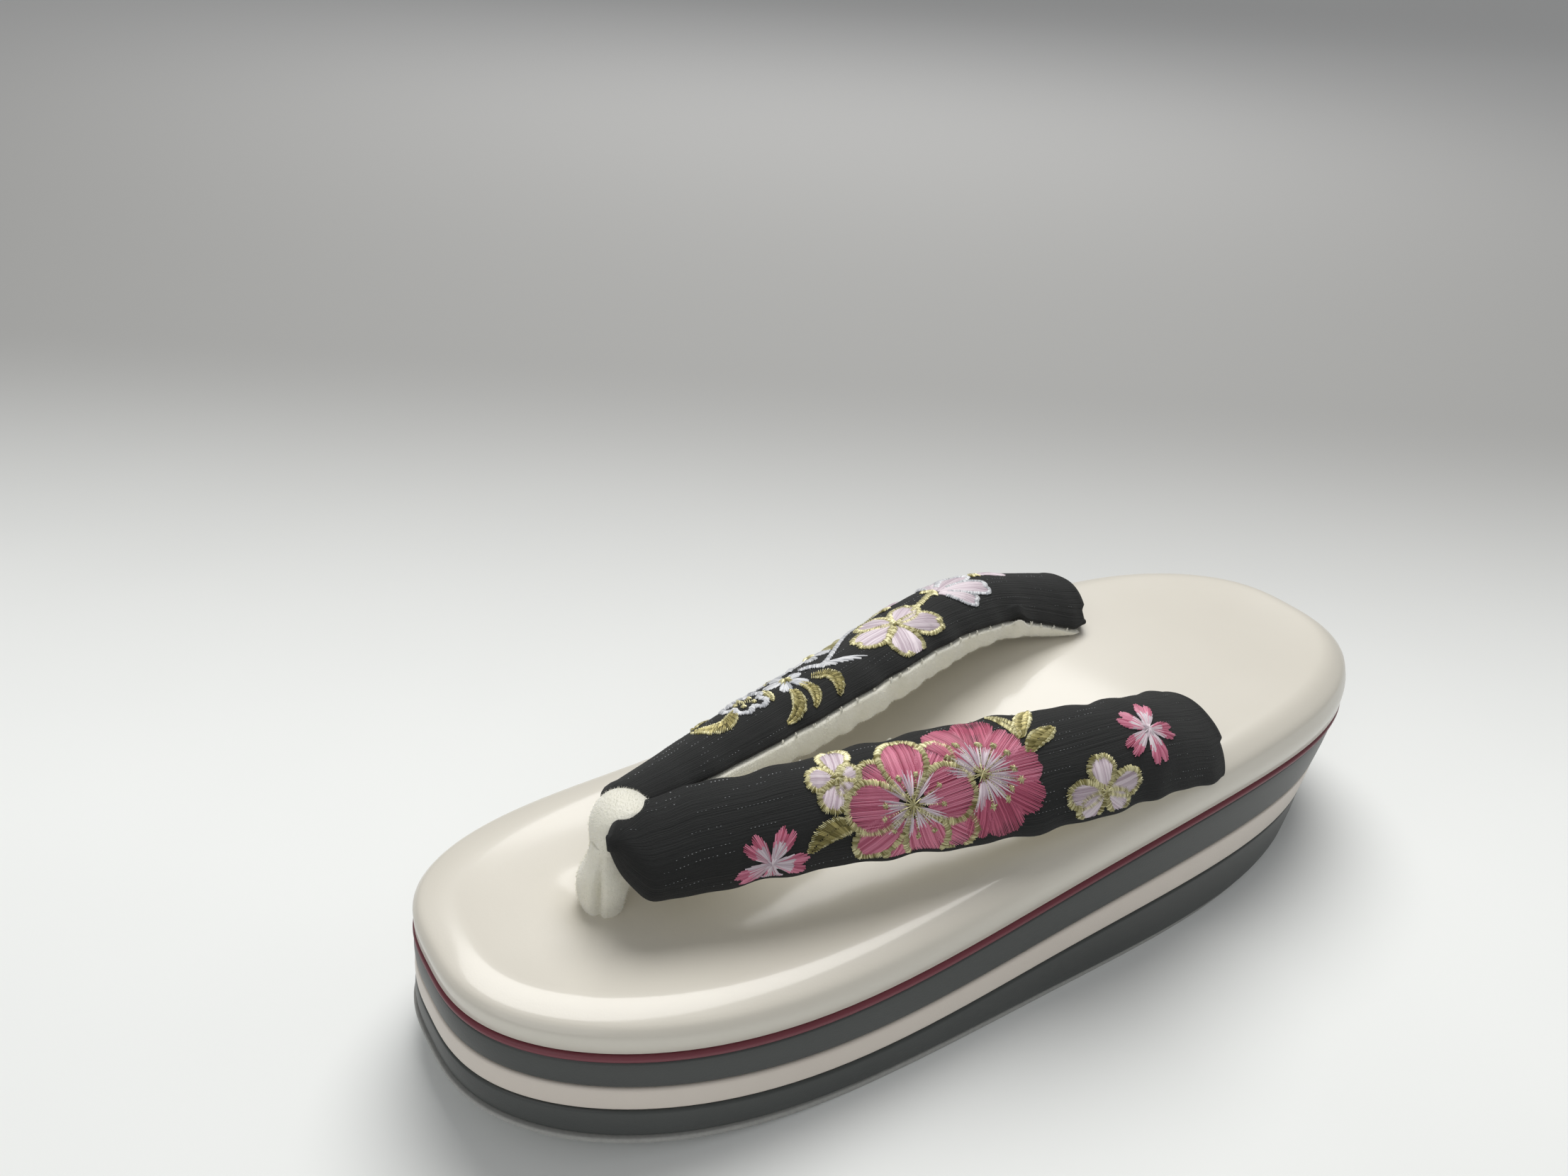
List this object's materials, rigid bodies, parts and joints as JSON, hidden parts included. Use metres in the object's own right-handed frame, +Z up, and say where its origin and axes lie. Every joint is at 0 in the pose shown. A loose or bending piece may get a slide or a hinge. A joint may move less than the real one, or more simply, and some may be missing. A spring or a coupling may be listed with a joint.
{
  "type": "zori sandal",
  "caption": "Raised zori sandal with a layered platform sole, a padded leatherette footbed and a padded crepe strap with embroidered arms on a velvet toe post.",
  "frame": {"origin": "on the floor, under the middle of the sole's length and width", "axes": "+Z up, +Y from toe to heel, +X towards the wearer's left"},
  "size_m": [0.0872, 0.2417, 0.0561],
  "materials": {
    "rubber_grey": "matt moulded",
    "charcoal_leatherette": "satin, fine grain",
    "beige_leatherette": "pearl satin",
    "burgundy_piping": "satin",
    "ivory_leatherette": "pearl satin, smooth",
    "black_crepe": "matt, fine lengthwise crepe with silver thread",
    "cream_velvet": "short soft nap",
    "pink_thread": "satin stitch, silky",
    "gold_thread": "metallic satin stitch",
    "white_thread": "satin stitch, silky",
    "lilac_thread": "satin stitch, silky"
  },
  "bodies": {
    "root": {"outsole": "rubber_grey", "tier_lower": "charcoal_leatherette", "tier_middle": "beige_leatherette", "tier_upper": "charcoal_leatherette", "piping": "burgundy_piping", "footbed": "ivory_leatherette", "strap_cover": "black_crepe", "strap_lining_left": "cream_velvet", "strap_lining_right": "cream_velvet", "toe_post": "cream_velvet"}
  },
  "joints": []
}
